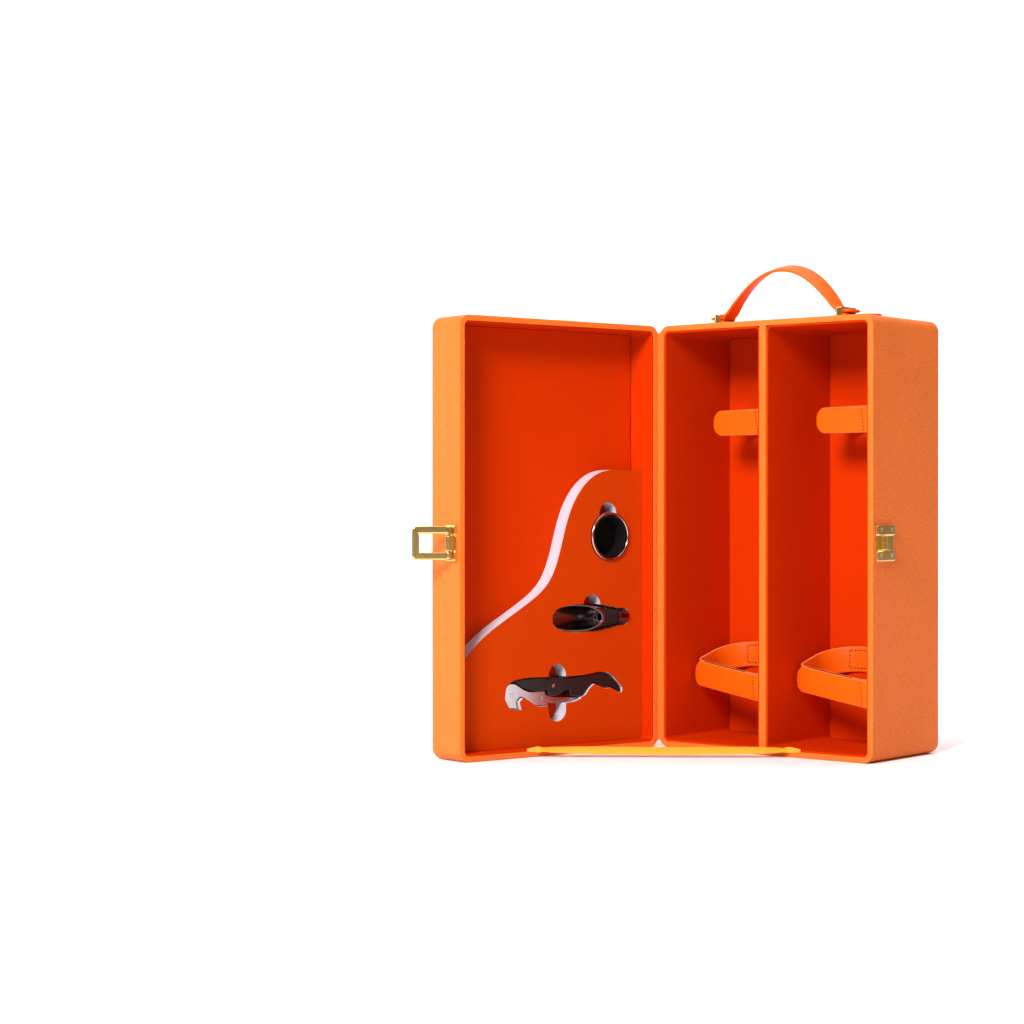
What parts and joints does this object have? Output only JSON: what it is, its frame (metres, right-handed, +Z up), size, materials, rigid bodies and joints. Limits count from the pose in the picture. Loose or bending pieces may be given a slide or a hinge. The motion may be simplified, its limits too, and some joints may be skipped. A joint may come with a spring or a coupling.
{
  "type": "wine case",
  "caption": "Upright leather-covered wine case for bottles: a divided body with strap loops, a hinged door holding a tool insert, a carrying strap and a loop clasp",
  "frame": {"origin": "centre of the closed body's bottom face, on the surface it stands on", "axes": "+Z up, the body opens towards -Y, the door hangs on its left front edge at -X"},
  "size_m": [0.2946, 0.3277, 0.395],
  "materials": {
    "orange_leather": "saffiano grain",
    "interior_lining": "smooth",
    "lining_pad": "padded",
    "board": "grey board, hidden",
    "edge_paint": "dark painted edge",
    "strap_leather": "smooth",
    "gold": "satin",
    "steel": "polished",
    "black_grip": "satin",
    "black_rubber": "ribbed",
    "felt": "felt",
    "foam": "foam",
    "insert_sheet": "smooth",
    "ribbon": "satin ribbon",
    "touch_tape": "hook-and-loop"
  },
  "bodies": {
    "case": {"case_leather": "orange_leather", "case_board": "board", "base_panel": "orange_leather", "divider": "orange_leather", "bay_lining_left": "interior_lining", "bay_lining_right": "interior_lining", "back_pad_left": "lining_pad", "back_pad_right": "lining_pad", "catch_plate": "gold", "catch_nails": "gold", "catch_hook": "gold", "handle_tab_left": "strap_leather", "handle_tab_right": "strap_leather", "keeper_left": "gold", "keeper_right": "gold", "handle_strap": "strap_leather", "hinge_leather": "orange_leather", "hinge_lining": "orange_leather", "stay_ribbon": "ribbon", "lower_band_left": "strap_leather", "lower_loop_left": "touch_tape", "upper_band_left": "strap_leather", "upper_loop_left": "touch_tape", "lower_band_right": "strap_leather", "lower_loop_right": "touch_tape", "upper_band_right": "strap_leather", "upper_loop_right": "touch_tape"},
    "door": {"door_leather": "orange_leather", "door_board": "board", "door_base_panel": "orange_leather", "door_face_board": "edge_paint", "door_panel": "orange_leather", "door_floor_pad": "lining_pad", "door_lining": "interior_lining", "insert_foam": "foam", "insert_sheet": "insert_sheet", "latch_plate": "gold", "latch_nails": "gold"},
    "latch_loop": {"latch_loop": "gold"},
    "handle_end_left": {"handle_end_left": "strap_leather"},
    "handle_end_right": {"handle_end_right": "strap_leather"},
    "drip_ring": {"ring_shell": "steel", "ring_felt": "felt"},
    "pourer": {"pourer_spout": "steel", "pourer_sleeve": "black_rubber", "pourer_tail": "steel"},
    "corkscrew": {"corkscrew_handle": "black_grip", "corkscrew_lever": "steel", "corkscrew_step": "steel", "corkscrew_rivets": "steel", "corkscrew_worm": "steel"},
    "lower_flap_left": {"lower_flap_left": "strap_leather", "lower_hook_left": "touch_tape"},
    "upper_flap_left": {"upper_flap_left": "strap_leather", "upper_hook_left": "touch_tape"},
    "lower_flap_right": {"lower_flap_right": "strap_leather", "lower_hook_right": "touch_tape"},
    "upper_flap_right": {"upper_flap_right": "strap_leather", "upper_hook_right": "touch_tape"}
  },
  "joints": [
    {"name": "door_hinge", "type": "hinge", "parent": "case", "child": "door", "pos_m": [-0.1025, -0.0515, 0.175], "axis": [0, 0, 1], "range_deg": [-2, 102.5], "deforming": ["stay_ribbon", "hinge_leather", "hinge_lining"]},
    {"name": "latch_pivot", "type": "hinge", "parent": "door", "child": "latch_loop", "pos_m": [-0.15586, -0.25477, 0.1715], "axis": [0, 0, 1], "range_deg": [-50, 120]},
    {"name": "handle_slide_right", "type": "slide", "parent": "case", "child": "handle_end_right", "axis": [1, 0, 0], "range_m": [0, 0.013], "deforming": ["handle_strap"]},
    {"name": "handle_slide_left", "type": "slide", "parent": "case", "child": "handle_end_left", "axis": [-1, 0, 0], "range_m": [0, 0.013]},
    {"name": "ring_slide", "type": "slide", "parent": "door", "child": "drip_ring", "axis": [-0.9763, 0.2164, 0], "range_m": [-0.04, 0]},
    {"name": "pourer_slide", "type": "slide", "parent": "door", "child": "pourer", "axis": [-0.9763, 0.2164, 0], "range_m": [-0.04, 0]},
    {"name": "corkscrew_slide", "type": "slide", "parent": "door", "child": "corkscrew", "axis": [-0.9763, 0.2164, 0], "range_m": [-0.04, 0]},
    {"name": "lower_flap_left_seam", "type": "hinge", "parent": "case", "child": "lower_flap_left", "pos_m": [-0.02117, -0.03627, 0.055], "axis": [0, 0, -1], "range_deg": [-85, 0]},
    {"name": "upper_flap_left_seam", "type": "hinge", "parent": "case", "child": "upper_flap_left", "pos_m": [-0.03762, -0.00745, 0.2702], "axis": [0, 0, -1], "range_deg": [-85, 0]},
    {"name": "lower_flap_right_seam", "type": "hinge", "parent": "case", "child": "lower_flap_right", "pos_m": [0.08008, -0.03627, 0.055], "axis": [0, 0, -1], "range_deg": [-85, 0]},
    {"name": "upper_flap_right_seam", "type": "hinge", "parent": "case", "child": "upper_flap_right", "pos_m": [0.06363, -0.00745, 0.2702], "axis": [0, 0, -1], "range_deg": [-85, 0]}
  ],
  "couplings": [
    {"joint": "handle_slide_left", "follows": "handle_slide_right", "ratio": 1}
  ]
}
